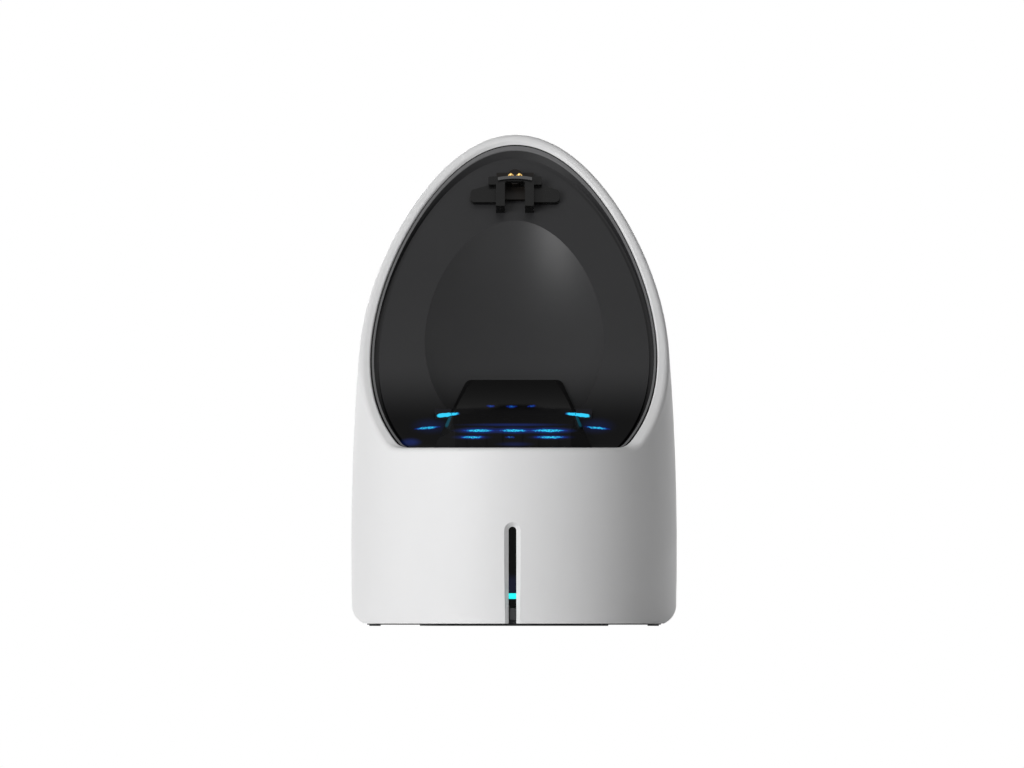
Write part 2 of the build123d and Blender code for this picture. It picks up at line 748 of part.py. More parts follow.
def contact_cable():
    """From behind the contact board down the back of the cup to its socket."""
    back = -plug_depth - contact_board_thickness - lead_diameter / 2 - seat
    end_x, end_y = contact_socket
    end_z = board_top + socket_height
    fall_z = contact_z - lead_fall
    middle_z = lip_height + lead_middle_rise
    points = [
        contact_plane.from_local_coords((0, -lead_start, back)),
        contact_plane.from_local_coords((0, -lead_run, back)),
        (0, wall_radius(fall_z, wall) - lead_wall_gap, fall_z),
        (end_x / 2, wall_radius(middle_z, wall) - lead_middle_gap, middle_z),
        (end_x, end_y + lead_offset, end_z + 2 * lead_drop),
        (end_x, end_y, end_z + lead_drop),
        (end_x, end_y, end_z),
    ]
    return lead(points, [lead_bend, lead_sweep, lead_sweep, lead_bend, lead_bend])


def glow_cable():
    """From the underside of the light board to its socket."""
    end_x, end_y = glow_socket
    start_y = strip_y - glow_lead_setback
    start_z = glow_board_top - board_thickness
    end_z = board_top + socket_height
    points = [
        (end_x, start_y, start_z),
        (end_x, start_y, start_z - glow_lead_drop),
        (end_x, end_y, end_z + glow_lead_drop),
        (end_x, end_y, end_z),
    ]
    return lead(points, [lead_bend, lead_bend])


# Base and electronics

foot_places = {
    "foot_left": (-side_foot_x, 0.0, side_foot_length, 90),
    "foot_right": (side_foot_x, 0.0, side_foot_length, 90),
    "foot_front": (0.0, -end_foot_y, end_foot_length, 0),
    "foot_rear": (0.0, end_foot_y, end_foot_length, 0),
}


def foot(x, y, length, turn, gap=0.0):
    """Strip foot with round ends, its face on the floor."""
    outline = Pos(x, y) * SlotOverall(length + 2 * gap, foot_width + 2 * gap, rotation=turn)
    return extrude(outline, plate_bottom + foot_recess)


def base_plate():
    plate = barrel(wall + fit, plate_bottom, plate_top)
    plate = plate & bar(2 * (opening_half_width - fit), BIG, 0, height)
    for x, y in standoff_places:
        plate = plate + rod(standoff_diameter, plate_top - root, board_bottom, x, y)
    rib = bar(2 * (slit_half_width - fit), wall, plate_top - root, rib_top,
              0, -wall_radius(rib_top, slot_face + wall / 2))
    rib = rib & barrel(slot_face)
    plate = plate + rib
    for x, y in boss_places:
        plate = plate - rod(screw_clearance, -cut_over, plate_top + cut_over, x, y)
        plate = plate - rod(screw_head + 2 * fit, -cut_over, plate_bottom + screw_head_height + fit, x, y)
    for x, y in standoff_places:
        plate = plate - rod(small_screw_pilot, plate_top, board_bottom + cut_over, x, y)
    for place in foot_places.values():
        plate = plate - foot(*place, seat)
    return plate


def screw_group(places, seat_z, head, head_height, shank, length, up):
    """Like pan-head screws; the head lies below its seat if `up` is 1 and above it if -1."""
    group = None
    for x, y in places:
        low = seat_z - head_height if up > 0 else seat_z - length
        high = seat_z + length if up > 0 else seat_z + head_height
        cap_low = low if up > 0 else seat_z
        screw = rod(shank, low, high, x, y) + rod(head, cap_low, cap_low + head_height, x, y)
        group = screw if group is None else group + screw
    return group


def base_screws():
    seat_z = plate_bottom + screw_head_height + fit
    length = screw_length - screw_tip_gap + plate_top - seat_z
    shank = screw_pilot - 2 * thread_gap
    return screw_group(boss_places, seat_z, screw_head, screw_head_height, shank, length, 1)


def liner_screws():
    seat_z = lug_z - lug_thickness
    length = lug_thickness + screw_length - screw_tip_gap
    shank = screw_pilot - 2 * thread_gap
    return screw_group(post_places, seat_z, screw_head, screw_head_height, shank, length, 1)


def board_screws():
    length = main_thickness + board_bottom - plate_top - small_tip_gap
    return screw_group(standoff_places, board_top, small_screw_head, small_screw_head_height,
                       small_screw_pilot - 2 * thread_gap, length, -1)


def main_board():
    middle = (main_front + main_rear) / 2
    board = bar(2 * main_half_width, main_rear - main_front, board_bottom, board_top, 0, middle)
    rear_length = main_tab_rear - main_rear + root
    rear = bar(2 * main_tab_half, rear_length, board_bottom, board_top, 0, main_tab_rear - rear_length / 2)
    front_end = -indicator_face + board_thickness
    front_length = main_front - front_end + root
    front = bar(2 * front_tab_half, front_length, board_bottom, board_top, 0, front_end + front_length / 2)
    board = board + rear + front
    board = board & barrel(wall + main_board_margin)
    for x, y in standoff_places:
        board = board - rod(small_screw_pilot + 2 * fit, 0, height, x, y)
    return board


def chip(x_size, y_size, tall, x, y):
    return bar(x_size, y_size, board_top, board_top + tall, x, y)


def control_chip():
    return chip(chip_size, chip_size, chip_height, 0.0, chip_y)


def power_coil():
    coil = chip(coil_size, coil_size, coil_height, coil_x, main_rear - coil_setback)
    return chamfer(coil.edges().filter_by(Axis.Z), coil_chamfer)


def capacitors():
    group = None
    for x, y in capacitor_places:
        part = chip(capacitor_width, capacitor_length, capacitor_height, x, y)
        group = part if group is None else group + part
    return group


def lead_sockets():
    group = None
    for x, y in (contact_socket, glow_socket):
        part = chip(socket_size, socket_size, socket_height, x, y)
        group = part if group is None else group + part
    return group


def usb_outline(inset):
    corner = (usb_height - usb_flat) / 2 - inset
    return RectangleRounded(usb_width - 2 * inset, usb_height - 2 * inset, corner)


def usb_shell():
    outline = Pos(0, usb_z) * (usb_outline(0) - usb_outline(usb_wall))
    return Pos(0, usb_mouth, 0) * extrude(Plane.XZ * outline, usb_length)


def usb_tongue():
    outline = Pos(0, usb_z) * usb_outline(usb_wall + lens_gap)
    plug = Pos(0, usb_mouth - usb_length + usb_back, 0) * extrude(Plane.XZ * outline, usb_back)
    low = usb_z - tongue_height / 2
    middle = usb_mouth - (usb_length + tongue_short) / 2
    tongue = bar(tongue_width, usb_length - tongue_short, low, low + tongue_height, 0, middle)
    return plug + tongue


# Slot light

def slot_lens():
    flange = barrel(wall + seat) - barrel(wall + seat + lens_flange)
    flange = flange & bar(2 * lens_flange_half, BIG, lens_low, slit_top + lens_margin, 0, -BIG / 2)
    rib = slot_prism(slit_half_width - lens_gap, -widest_radius, lens_root - inner_radius)
    rib = rib & barrel(slot_face)
    rib = rib & bar(2 * widest_radius, BIG, lens_low, height)
    lens = flange + (rib - barrel(wall + seat + lens_flange / 2))
    return lens - indicator_block(lens_gap)


def indicator_block(gap):
    block = bar(2 * (slit_half_width - lens_gap), BIG, window_low - gap, window_high + gap, 0, -BIG / 2)
    return (block & barrel(window_face - gap)) - barrel(wall + seat + lens_flange)


def indicator_window():
    return indicator_block(0)


def indicator_led():
    return bar(led_size, led_height, window_low - led_over, window_high + led_over, 0,
               -indicator_face - led_height / 2)


def indicator_board():
    return bar(2 * indicator_half_width, board_thickness, plate_top, indicator_top, 0,
               -indicator_face + board_thickness / 2)


# Write one file per piece
parts = {
    "outer_shell": outer_shell(),
    "cradle_liner": cradle_liner(),
    "saddle_panel": saddle_panel(),
    "glow_windows": glow_windows(),
    "side_lights": side_lights(),
    "glow_board": glow_board(),
    "glow_leds": glow_leds(),
    "contact_housing": contact_housing(),
    "guide_frame": guide_frame(),
    "guide_bar": guide_bar(),
    "contact_board": contact_board(),
    "pin_barrels": pin_barrels(),
    "contact_pin_left": contact_pin(pin_places[0]),
    "contact_pin_right": contact_pin(pin_places[1]),
    "contact_cable": contact_cable(),
    "glow_cable": glow_cable(),
    "base_plate": base_plate(),
    "base_screws": base_screws(),
    "liner_screws": liner_screws(),
    "board_screws": board_screws(),
    "main_board": main_board(),
    "control_chip": control_chip(),
    "power_coil": power_coil(),
    "capacitors": capacitors(),
    "lead_sockets": lead_sockets(),
    "usb_shell": usb_shell(),
    "usb_tongue": usb_tongue(),
    "slot_lens": slot_lens(),
    "indicator_window": indicator_window(),
    "indicator_led": indicator_led(),
    "indicator_board": indicator_board(),
}
for name, place in foot_places.items():
    parts[name] = foot(*place)

os.makedirs("parts", exist_ok=True)
for name, part in parts.items():
    export_step(part, f"parts/{name}.step")
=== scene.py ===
import math

import bmesh
import bpy
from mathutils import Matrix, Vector


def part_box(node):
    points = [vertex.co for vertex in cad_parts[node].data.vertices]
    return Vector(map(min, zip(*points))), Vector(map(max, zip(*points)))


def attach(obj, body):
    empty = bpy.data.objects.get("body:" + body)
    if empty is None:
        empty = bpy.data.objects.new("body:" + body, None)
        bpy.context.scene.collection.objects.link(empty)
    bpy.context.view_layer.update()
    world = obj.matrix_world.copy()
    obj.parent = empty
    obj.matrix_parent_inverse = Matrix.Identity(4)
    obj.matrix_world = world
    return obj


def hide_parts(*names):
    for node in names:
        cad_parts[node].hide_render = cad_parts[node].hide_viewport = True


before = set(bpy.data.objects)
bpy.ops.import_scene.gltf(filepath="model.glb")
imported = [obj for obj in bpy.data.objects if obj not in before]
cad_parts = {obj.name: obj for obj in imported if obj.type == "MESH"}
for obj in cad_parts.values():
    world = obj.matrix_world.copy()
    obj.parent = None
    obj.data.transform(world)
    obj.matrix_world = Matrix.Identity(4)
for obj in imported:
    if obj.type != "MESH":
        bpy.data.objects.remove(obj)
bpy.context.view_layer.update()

MM = 0.001


def mm(*values):
    return tuple(value * MM for value in values)


def rgb(red, green, blue):
    return (red, green, blue, 1.0)


# Picture: its scale, and the pixel where the object's middle meets the floor
PIXELS_PER_METRE = 3875.0
PICTURE_WIDTH = 1024
PICTURE_HEIGHT = 768
AXIS_PIXEL_X = 514.1
FLOOR_PIXEL_Y = 625.9
CAMERA_AZIMUTH = 0.6
CAMERA_DISTANCE = 1.2

# Stage and light, with the soft boxes in rows of (name, azimuth, elevation, width, power)
AMBIENT = 0.09
FLOOR_SIZE = 8.0
FLOOR_GLOW = 0.57
LAMP_DISTANCE = 1.3
LAMP_HEIGHT = 0.6
LAMP_AIM = Vector((0.0, 0.0, 0.05))
LAMPS = (
    ("key", -38.0, 13.0, 0.6, 12.5),
    ("fill", 25.0, 14.0, 0.7, 0.8),
    ("rear_right", 163.0, 20.0, 0.7, 3.0),
    ("rear_left", -165.0, 20.0, 0.7, 8.5),
)

# The cup's outer wall: a body of revolution whose side is a round curve in the side view
WIDEST_RADIUS = 42.0 * MM
WIDEST_HEIGHT = 20.0 * MM
BULGE_RADIUS = 650.0 * MM

# The rim's sweep in the side view: a round curve about the left-right line through this point
RIM_CENTRE = mm(0.0, -169.984, 208.272)
RIM_RADIUS = 216.925 * MM

# The painted highlight on the liner's raised edge, by depth below the rim, and the painted shade of the gap
# round it, by depth inside the wall
EDGE_HIGHLIGHT_FADE = 0.2 * MM
EDGE_HIGHLIGHT_NEAR = 0.48 * MM
EDGE_HIGHLIGHT_FAR = 0.62 * MM
GAP_SHADE_START = 3.30 * MM
GAP_SHADE_END = 3.38 * MM

# Heights between which the liner passes from painted shade, with no coat, to satin, and the saddle from its
# front, painted lighter, to its top, painted darker as shade
LINER_SHADED_BELOW = 52.0 * MM
LINER_SATIN_ABOVE = 68.0 * MM
SADDLE_FRONT_TOP = 55.5 * MM
SADDLE_TOP_START = 57.0 * MM

# Heights at which the glow behind the slot starts, is full, begins to fade and ends
SLOT_GLOW_START = 6.6 * MM
SLOT_GLOW_FULL = 7.2 * MM
SLOT_GLOW_FADE = 11.8 * MM
SLOT_GLOW_END = 13.6 * MM

# Light that shows from the front, painted on as glow: on the lenses it is the lamps' own light, on the
# saddle and liner painted reflections and spill of the lamps. Rows of (x, z, half width, half height,
# share), with lengths in mm
SADDLE_PAINTED_STREAKS = (
    (-8.8, 50.4, 5.6, 0.50, 1.25), (0.2, 50.4, 5.4, 0.50, 1.25), (9.2, 50.4, 6.2, 0.52, 1.4),
    (-10.6, 48.7, 4.6, 0.52, 0.95), (-0.6, 48.7, 2.0, 0.45, 0.5), (9.8, 48.7, 6.0, 0.52, 1.0),
    (-5.8, 56.7, 1.8, 0.6, 0.42), (-0.5, 56.6, 2.2, 0.6, 0.45), (4.7, 56.7, 1.8, 0.6, 0.42),
)
SADDLE_PAINTED_HAZE = (
    (0.0, 51.9, 17.0, 0.55, 1.1), (0.0, 50.4, 17.5, 0.7, 1.2), (0.5, 46.9, 6.0, 0.8, 0.5),
    (-8.8, 50.4, 7.5, 1.1, 2.2), (0.2, 50.4, 7.0, 1.1, 2.2), (9.2, 50.4, 8.0, 1.1, 2.4),
    (-10.6, 48.7, 6.0, 0.8, 1.4), (9.8, 48.7, 7.0, 0.8, 1.4),
)
SIDE_BARS = (
    (-16.8, 54.55, 3.3, 0.44, 1.0), (16.5, 54.55, 3.5, 0.44, 1.0),
    (-18.0, 54.35, 1.9, 0.56, 1.0), (18.0, 54.35, 1.9, 0.56, 1.0),
)
LINER_PAINTED_SPILL = ((-22.2, 51.1, 4.4, 0.50, 1.0), (21.6, 51.1, 4.4, 0.50, 1.0))
LINER_PAINTED_HAZE = ((-26.4, 47.4, 3.4, 1.4, 1.2), (-21.5, 51.6, 6.0, 2.6, 0.4), (21.5, 51.6, 6.0, 2.6, 0.4))
INDICATOR_BAR = ((0.0, 7.7, 6.0, 6.0, 1.0),)

# How steeply the side lights fall outward, and a depth at which a spot is the same from front to back
LIGHT_DROOP = 0.09
SPOT_DEPTH = 500.0

# How the edges of streaks and bars break up: the scale of the breaks and how far they shift an edge
STREAK_BREAKS = 1300.0
STREAK_SHIFT = mm(1.2, 1.2, 0.55)
BAR_BREAKS = 1100.0
BAR_SHIFT = mm(0.5, 0.5, 0.35)
SPECK_SCALE = 2600.0

BLACK = rgb(0.0, 0.0, 0.0)
WHITE = rgb(1.0, 1.0, 1.0)
NAVY = rgb(0.004, 0.012, 0.080)
DEEP_BLUE = rgb(0.004, 0.045, 0.55)
CYAN_BLUE = rgb(0.03, 0.66, 1.0)

# Surface detail: noise scales, each per metre, and the heights of reliefs
CLOUD_SCALE = 55.0
SMUDGE_SCALE = 140.0
PEEL_SCALE = 420.0
PEEL_HEIGHT = 0.03 * MM
GRAIN_SCALE = 3200.0
GRAIN_HEIGHT = 0.02 * MM
PEBBLE_SCALE = 1500.0
PEBBLE_HEIGHT = 0.08 * MM
STREAK_STRETCH = (1.0, 1.0, 6.0)
STREAK_HEIGHT = 0.02 * MM
GLOSS_SCALE = 1800.0
GLOSS_HEIGHT = 0.01 * MM
TRACK_SCALE = 260.0

# Most of a noise lies between these values
NOISE_LOW = 0.3
NOISE_HIGH = 0.7


class Nodes:
    """Short names for building one node tree."""

    def __init__(self, tree):
        self.tree = tree
        self.shader = tree.nodes.get("Principled BSDF")

    def new(self, kind, **settings):
        node = self.tree.nodes.new(kind)
        for key, value in settings.items():
            setattr(node, key, value)
        return node

    def put(self, socket, value):
        """Link a socket to an output, or set it to a plain value."""
        if isinstance(value, bpy.types.NodeSocket):
            self.tree.links.new(value, socket)
        else:
            socket.default_value = value

    def set(self, **values):
        """Put values on the shader's sockets, with _ for each space in a socket's name."""
        for key, value in values.items():
            self.put(self.shader.inputs[key.replace("_", " ")], value)

    def place(self):
        return self.new("ShaderNodeTexCoord").outputs["Object"]

    def height(self):
        node = self.new("ShaderNodeSeparateXYZ")
        self.put(node.inputs[0], self.place())
        return node.outputs["Z"]

    def noise(self, scale, detail=2.0, rough=0.5, stretch=None):
        node = self.new("ShaderNodeTexNoise")
        node.inputs["Scale"].default_value = scale
        node.inputs["Detail"].default_value = detail
        node.inputs["Roughness"].default_value = rough
        where = self.place()
        if stretch is not None:
            mapping = self.new("ShaderNodeMapping")
            mapping.inputs["Scale"].default_value = stretch
            self.put(mapping.inputs["Vector"], where)
            where = mapping.outputs["Vector"]
        self.put(node.inputs["Vector"], where)
        return node.outputs["Fac"]

    def math(self, operation, first, second=0.0, clamp=False):
        node = self.new("ShaderNodeMath", operation=operation, use_clamp=clamp)
        self.put(node.inputs[0], first)
        self.put(node.inputs[1], second)
        return node.outputs[0]

    def vector(self, operation, first, second):
        node = self.new("ShaderNodeVectorMath", operation=operation)
        self.put(node.inputs[0], first)
        self.put(node.inputs[1], second)
        return node.outputs[0]

    def length(self, value):
        node = self.new("ShaderNodeVectorMath", operation="LENGTH")
        self.put(node.inputs[0], value)
        return node.outputs["Value"]

    def span(self, value, low, high, out_low=0.0, out_high=1.0, smooth=False):
        """Carry the range from `low` to `high` over to another range, with no overshoot."""
        node = self.new("ShaderNodeMapRange", clamp=True)
        if smooth:
            node.interpolation_type = "SMOOTHSTEP"
        self.put(node.inputs["Value"], value)
        node.inputs["From Min"].default_value = low
        node.inputs["From Max"].default_value = high
        node.inputs["To Min"].default_value = out_low
        node.inputs["To Max"].default_value = out_high
        return node.outputs["Result"]

    def uneven(self, noise, low, high):
        """A value that wanders between `low` and `high` with a noise."""
        return self.span(noise, NOISE_LOW, NOISE_HIGH, low, high)

    def mix(self, factor, first, second):
        node = self.new("ShaderNodeMix", data_type="RGBA")
        self.put(node.inputs[0], factor)
        self.put(node.inputs[6], first)
        self.put(node.inputs[7], second)
        return node.outputs[2]

    def spot(self, place, centre, half, bar):
        """1 at `centre`, falling softly to 0 at an ellipsoid of half-sizes `half`, or at a squarer bar."""
        away = self.vector("DIVIDE", self.vector("SUBTRACT", place, centre), half)
        if bar:
            away = self.vector("MULTIPLY", away, away)
        return self.span(self.length(away), 1.0, 0.0, smooth=True)

    def spots(self, place, rows, bar=False, droop=0.0):
        """Sum of the spots in a table of light that shows from the front."""
        if droop:
            place = self.drooped(place, droop)
        total = None
        for x, z, wide, high, share in rows:
            centre = mm(x, 0.0, z + droop * abs(x))
            spot = self.spot(place, centre, mm(wide, SPOT_DEPTH, high), bar)
            lit = self.math("MULTIPLY", spot, share)
            total = lit if total is None else self.math("ADD", total, lit)
        return total

    def drooped(self, place, slope):
        """The place, raised by `slope` for each length out from the middle, so that spots on it droop."""
        split = self.new("ShaderNodeSeparateXYZ")
        self.put(split.inputs[0], place)
        outward = self.math("ABSOLUTE", split.outputs["X"])
        lift = self.new("ShaderNodeCombineXYZ")
        self.put(lift.inputs["Z"], self.math("MULTIPLY", outward, slope))
        return self.vector("ADD", place, lift.outputs[0])

    def ragged(self, scale, reach):
        """The place on the surface, shifted to and fro so that a spot's edge breaks up."""
        node = self.new("ShaderNodeTexNoise")
        node.inputs["Scale"].default_value = scale
        node.inputs["Detail"].default_value = 2.0
        self.put(node.inputs["Vector"], self.place())
        shift = self.vector("SUBTRACT", node.outputs["Color"], (0.5, 0.5, 0.5))
        return self.vector("ADD", self.place(), self.vector("MULTIPLY", shift, reach))

    def bump(self, *layers):
        """Bump from layers of (height, strength, distance), each laid over the one before."""
        normal = None
        for height, strength, distance in layers:
            node = self.new("ShaderNodeBump")
            node.inputs["Strength"].default_value = strength
            node.inputs["Distance"].default_value = distance
            self.put(node.inputs["Height"], height)
            if normal is not None:
                self.put(node.inputs["Normal"], normal)
            normal = node.outputs["Normal"]
        self.put(self.shader.inputs["Normal"], normal)

    def background_rays(self):
        """1 for rays that show the background: to the camera, in a reflection or through something clear."""
        path = self.new("ShaderNodeLightPath")
        shown = self.math("ADD", path.outputs["Is Camera Ray"], path.outputs["Is Glossy Ray"])
        return self.math("ADD", shown, path.outputs["Is Transmission Ray"], clamp=True)


# Materials

def new_material(name):
    material = bpy.data.materials.new(name)
    material.use_nodes = True
    return Nodes(material.node_tree), material


def cloudy(n, light, dark, roughness, spread, specular):
    """Slightly cloudy colour, which is returned, and uneven gloss."""
    colour = n.mix(n.noise(CLOUD_SCALE, 3.0), rgb(*dark), rgb(*light))
    smudge = n.noise(SMUDGE_SCALE, 4.0, 0.6)
    n.set(Base_Color=colour, Specular_IOR_Level=specular)
    n.set(Roughness=n.uneven(smudge, roughness - spread, roughness + spread))
    return colour


def moulded_grain(n, relief=1.0):
    """A soft unevenness under a fine grain."""
    peel = n.noise(PEEL_SCALE)
    grain = n.noise(GRAIN_SCALE, 2.0, 0.6)
    n.bump((peel, 0.15 * relief, PEEL_HEIGHT), (grain, 0.25 * relief, GRAIN_HEIGHT))


def plastic(name, light, dark, roughness, spread, specular=0.5, relief=1.0):
    """Moulded plastic."""
    n, material = new_material(name)
    cloudy(n, light, dark, roughness, spread, specular)
    moulded_grain(n, relief)
    return material


def rubber(name, light, dark):
    """Soft rubber with a pebbled skin."""
    n, material = new_material(name)
    cloudy(n, light, dark, 0.75, 0.08, 0.3)
    cell = n.new("ShaderNodeTexVoronoi")
    cell.inputs["Scale"].default_value = PEBBLE_SCALE
    n.put(cell.inputs["Vector"], n.place())
    n.bump((cell.outputs["Distance"], 0.4, PEBBLE_HEIGHT))
    return material


def metal(name, light, dark, roughness, scale):
    """Plated metal with fine level streaks."""
    n, material = new_material(name)
    streak = n.noise(scale, 3.0, 0.6, STREAK_STRETCH)
    n.set(Base_Color=n.mix(streak, rgb(*dark), rgb(*light)), Metallic=1.0)
    n.set(Roughness=n.uneven(streak, roughness * 0.7, roughness * 1.3))
    n.bump((streak, 0.08, STREAK_HEIGHT))
    return material


def board_material():
    """Green solder mask with faint copper tracks."""
    n, material = new_material("circuit_board")
    tracks = n.new("ShaderNodeTexBrick")
    tracks.inputs["Scale"].default_value = TRACK_SCALE
    tracks.inputs["Mortar Size"].default_value = 0.06
    tracks.inputs["Color1"].default_value = rgb(0.012, 0.075, 0.035)
    tracks.inputs["Color2"].default_value = rgb(0.014, 0.088, 0.042)
    tracks.inputs["Mortar"].default_value = rgb(0.03, 0.16, 0.07)
    n.put(tracks.inputs["Vector"], n.place())
    n.set(Base_Color=tracks.outputs["Color"], Roughness=n.uneven(n.noise(400.0), 0.32, 0.5))
    return material


def lit_bars(n, rows, droop):
    """Solid bars of light with slightly broken edges."""
    place = n.ragged(BAR_BREAKS, BAR_SHIFT)
    return n.span(n.spots(place, rows, bar=True, droop=droop), 0.05, 0.60)


def painted_blue_glow(n, streaks, haze, bars=(), droop=0.0):
    """Painted glow: broken streaks of lamp light, which droop or not, and drooping bars, over a dim blue
    haze of painted spill.
    """
    core = n.spots(n.ragged(STREAK_BREAKS, STREAK_SHIFT), streaks, droop=droop)
    speck = n.span(n.noise(SPECK_SCALE, 2.0, 0.7), 0.36, 0.56, 0.2, 1.0)
    lit = n.math("MULTIPLY", n.span(core, 0.10, 0.60), speck)
    tint = n.span(core, 0.30, 0.85)
    if bars:
        bar = lit_bars(n, bars, LIGHT_DROOP)
        lit = n.math("MAXIMUM", lit, bar)
        tint = n.math("MAXIMUM", tint, bar)
    dim = n.mix(n.spots(n.place(), haze), BLACK, NAVY)
    lamp = n.mix(tint, DEEP_BLUE, CYAN_BLUE)
    n.set(Emission_Color=n.mix(lit, dim, lamp), Emission_Strength=1.0)


def saddle_material(name, roughness):
    """Smoked gloss plastic, its front painted lighter and its top blacker as painted light and shade, with
    the lamps' light painted on as glow: reflections and spill, and on the windows the light showing through.
    """
    n, material = new_material(name)
    cloud = n.noise(60.0, 3.0)
    # Painted light and shade: a lighter copy of the plastic for the front and a blacker copy for the top
    front = n.mix(cloud, rgb(0.008, 0.008, 0.008), rgb(0.011, 0.011, 0.012))
    top = n.mix(cloud, rgb(0.0008, 0.0008, 0.0008), rgb(0.0014, 0.0014, 0.0014))
    n.set(Base_Color=n.mix(n.span(n.height(), SADDLE_FRONT_TOP, SADDLE_TOP_START), front, top))
    smudge = n.noise(220.0, 4.0, 0.65)
    n.set(Roughness=n.span(smudge, 0.3, 0.75, roughness * 0.7, roughness * 1.3))
    n.set(Specular_IOR_Level=0.03)
    n.bump((n.noise(GLOSS_SCALE), 0.05, GLOSS_HEIGHT))
    # Painted glow: blue streaks, bars and haze of the lamps' reflections and spill, and on the windows the
    # lamps' light
    painted_blue_glow(n, SADDLE_PAINTED_STREAKS, SADDLE_PAINTED_HAZE, SIDE_BARS)
    return material


def rim_depth(n):
    """How far a place lies below the rim's sweep."""
    sideways = n.vector("MULTIPLY", n.vector("SUBTRACT", n.place(), RIM_CENTRE), (0.0, 1.0, 1.0))
    return n.math("SUBTRACT", n.length(sideways), RIM_RADIUS)


def wall_inset(n):
    """How far a place lies inside the cup's outer wall."""
    radius = n.length(n.vector("MULTIPLY", n.place(), (1.0, 1.0, 0.0)))
    side = n.new("ShaderNodeCombineXYZ")
    n.put(side.inputs["X"], n.math("SUBTRACT", radius, WIDEST_RADIUS - BULGE_RADIUS))
    n.put(side.inputs["Z"], n.math("SUBTRACT", n.height(), WIDEST_HEIGHT))
    return n.math("SUBTRACT", BULGE_RADIUS, n.length(side.outputs[0]))


def liner_material():
    """Satin black, with painted shade and no coat low down, a painted highlight on the raised edge under the
    rim, painted shade in the gap round it, and painted spill of the lamps.
    """
    n, material = new_material("satin_black")
    satin = cloudy(n, (0.020, 0.020, 0.021), (0.015, 0.015, 0.016), 0.46, 0.06, 0.05)
    moulded_grain(n)
    upper = n.span(n.height(), LINER_SHADED_BELOW, LINER_SATIN_ABOVE, smooth=True)
    n.set(Coat_Weight=n.math("MULTIPLY", upper, 0.42), Coat_Roughness=0.42)
    # Painted shade: the satin colour fades to near black low down
    field_with_painted_shade = n.mix(upper, rgb(0.002, 0.002, 0.0022), satin)
    depth = rim_depth(n)
    # Painted highlight: a pale band on the raised edge, as if it caught the light
    edge = n.math("MULTIPLY", n.span(depth, EDGE_HIGHLIGHT_FAR, EDGE_HIGHLIGHT_NEAR), n.span(depth, 0.0, EDGE_HIGHLIGHT_FADE))
    with_painted_highlight = n.mix(edge, field_with_painted_shade, rgb(0.15, 0.15, 0.153))
    # Painted shade: a near black band for the gap between the raised edge and the wall
    past_painted_gap_shade = n.span(wall_inset(n), GAP_SHADE_START, GAP_SHADE_END)
    n.set(Base_Color=n.mix(past_painted_gap_shade, rgb(0.003, 0.003, 0.003), with_painted_highlight))
    # Painted glow: blue spill of the lamps on the liner
    painted_blue_glow(n, LINER_PAINTED_SPILL, LINER_PAINTED_HAZE, droop=LIGHT_DROOP)
    return material


def lens_material(name, light, dark, edge, middle, rows, droop=0.0):
    """Lens lit from behind, with one colour along the bars in `rows` and another round them."""
    n, material = new_material(name)
    n.set(Base_Color=n.mix(n.noise(300.0), rgb(*light), rgb(*dark)))
    n.set(Roughness=0.25, Specular_IOR_Level=0.1)
    n.set(Emission_Color=n.mix(lit_bars(n, rows, droop), rgb(*edge), rgb(*middle)), Emission_Strength=1.0)
    return material


def slot_material():
    """Smoked strip in the slot, with a dim navy glow round and above the lit bar."""
    n, material = new_material("slot_smoke")
    n.set(Base_Color=n.mix(n.noise(120.0, 3.0), rgb(0.002, 0.002, 0.002), rgb(0.004, 0.004, 0.004)))
    n.set(Roughness=n.uneven(n.noise(400.0, 3.0), 0.12, 0.22), Specular_IOR_Level=0.05)
    z = n.height()
    rise = n.span(z, SLOT_GLOW_START, SLOT_GLOW_FULL)
    glow = n.math("MULTIPLY", rise, n.span(z, SLOT_GLOW_END, SLOT_GLOW_FADE))
    n.set(Emission_Color=n.mix(glow, BLACK, rgb(0.006, 0.007, 0.020)), Emission_Strength=1.0)
    return material


white = plastic("white_shell", (0.81, 0.81, 0.812), (0.785, 0.785, 0.79), 0.46, 0.04, 0.22, 0.4)
frame_black = plastic("frame_black", (0.006, 0.006, 0.006), (0.004, 0.004, 0.004), 0.28, 0.06, 0.22)
housing_black = plastic("housing_black", (0.008, 0.006, 0.005), (0.005, 0.004, 0.003), 0.35, 0.05, 0.18)
bar_black = plastic("bar_gloss", (0.012, 0.012, 0.013), (0.008, 0.008, 0.009), 0.20, 0.04, 1.0)
base_grey = plastic("grey_base", (0.040, 0.040, 0.042), (0.030, 0.030, 0.032), 0.5, 0.06, 0.2)
chip_black = plastic("chip_body", (0.03, 0.03, 0.03), (0.02, 0.02, 0.02), 0.55, 0.06)
led_white = plastic("led_body", (0.75, 0.74, 0.70), (0.66, 0.65, 0.62), 0.4, 0.05)
sheath = plastic("lead_sheath", (0.03, 0.03, 0.03), (0.02, 0.02, 0.02), 0.6, 0.08)
black_rubber = rubber("foot_rubber", (0.060, 0.060, 0.060), (0.040, 0.040, 0.040))
